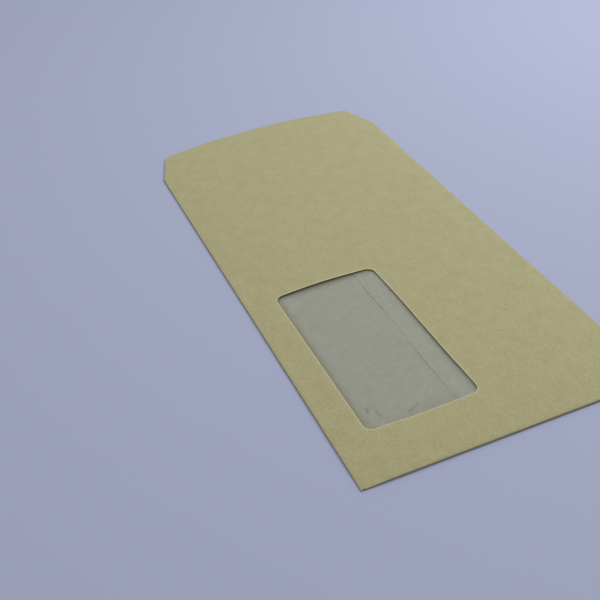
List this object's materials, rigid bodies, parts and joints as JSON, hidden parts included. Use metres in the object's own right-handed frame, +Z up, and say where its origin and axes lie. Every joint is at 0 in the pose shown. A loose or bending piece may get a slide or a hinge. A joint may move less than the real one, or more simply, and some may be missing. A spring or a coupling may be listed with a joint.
{
  "type": "window envelope",
  "caption": "Flat paper envelope with a film window in its face, an open seal flap at one end and a glued seam down its back.",
  "frame": {"origin": "centre of the bounding box on the surface that the envelope lies on", "axes": "+Z up out of the window face, +Y along the envelope from its bottom fold to its seal flap, +X across it, with the window on the -X side"},
  "size_m": [0.12, 0.2626, 0.001],
  "materials": {
    "kraft_paper": "uncoated buff kraft, matt with a fine mottle",
    "glassine_film": "milky translucent glassine with a soft sheen"
  },
  "bodies": {
    "root": {"folded_paper": "kraft_paper", "window_film": "glassine_film"}
  },
  "joints": []
}
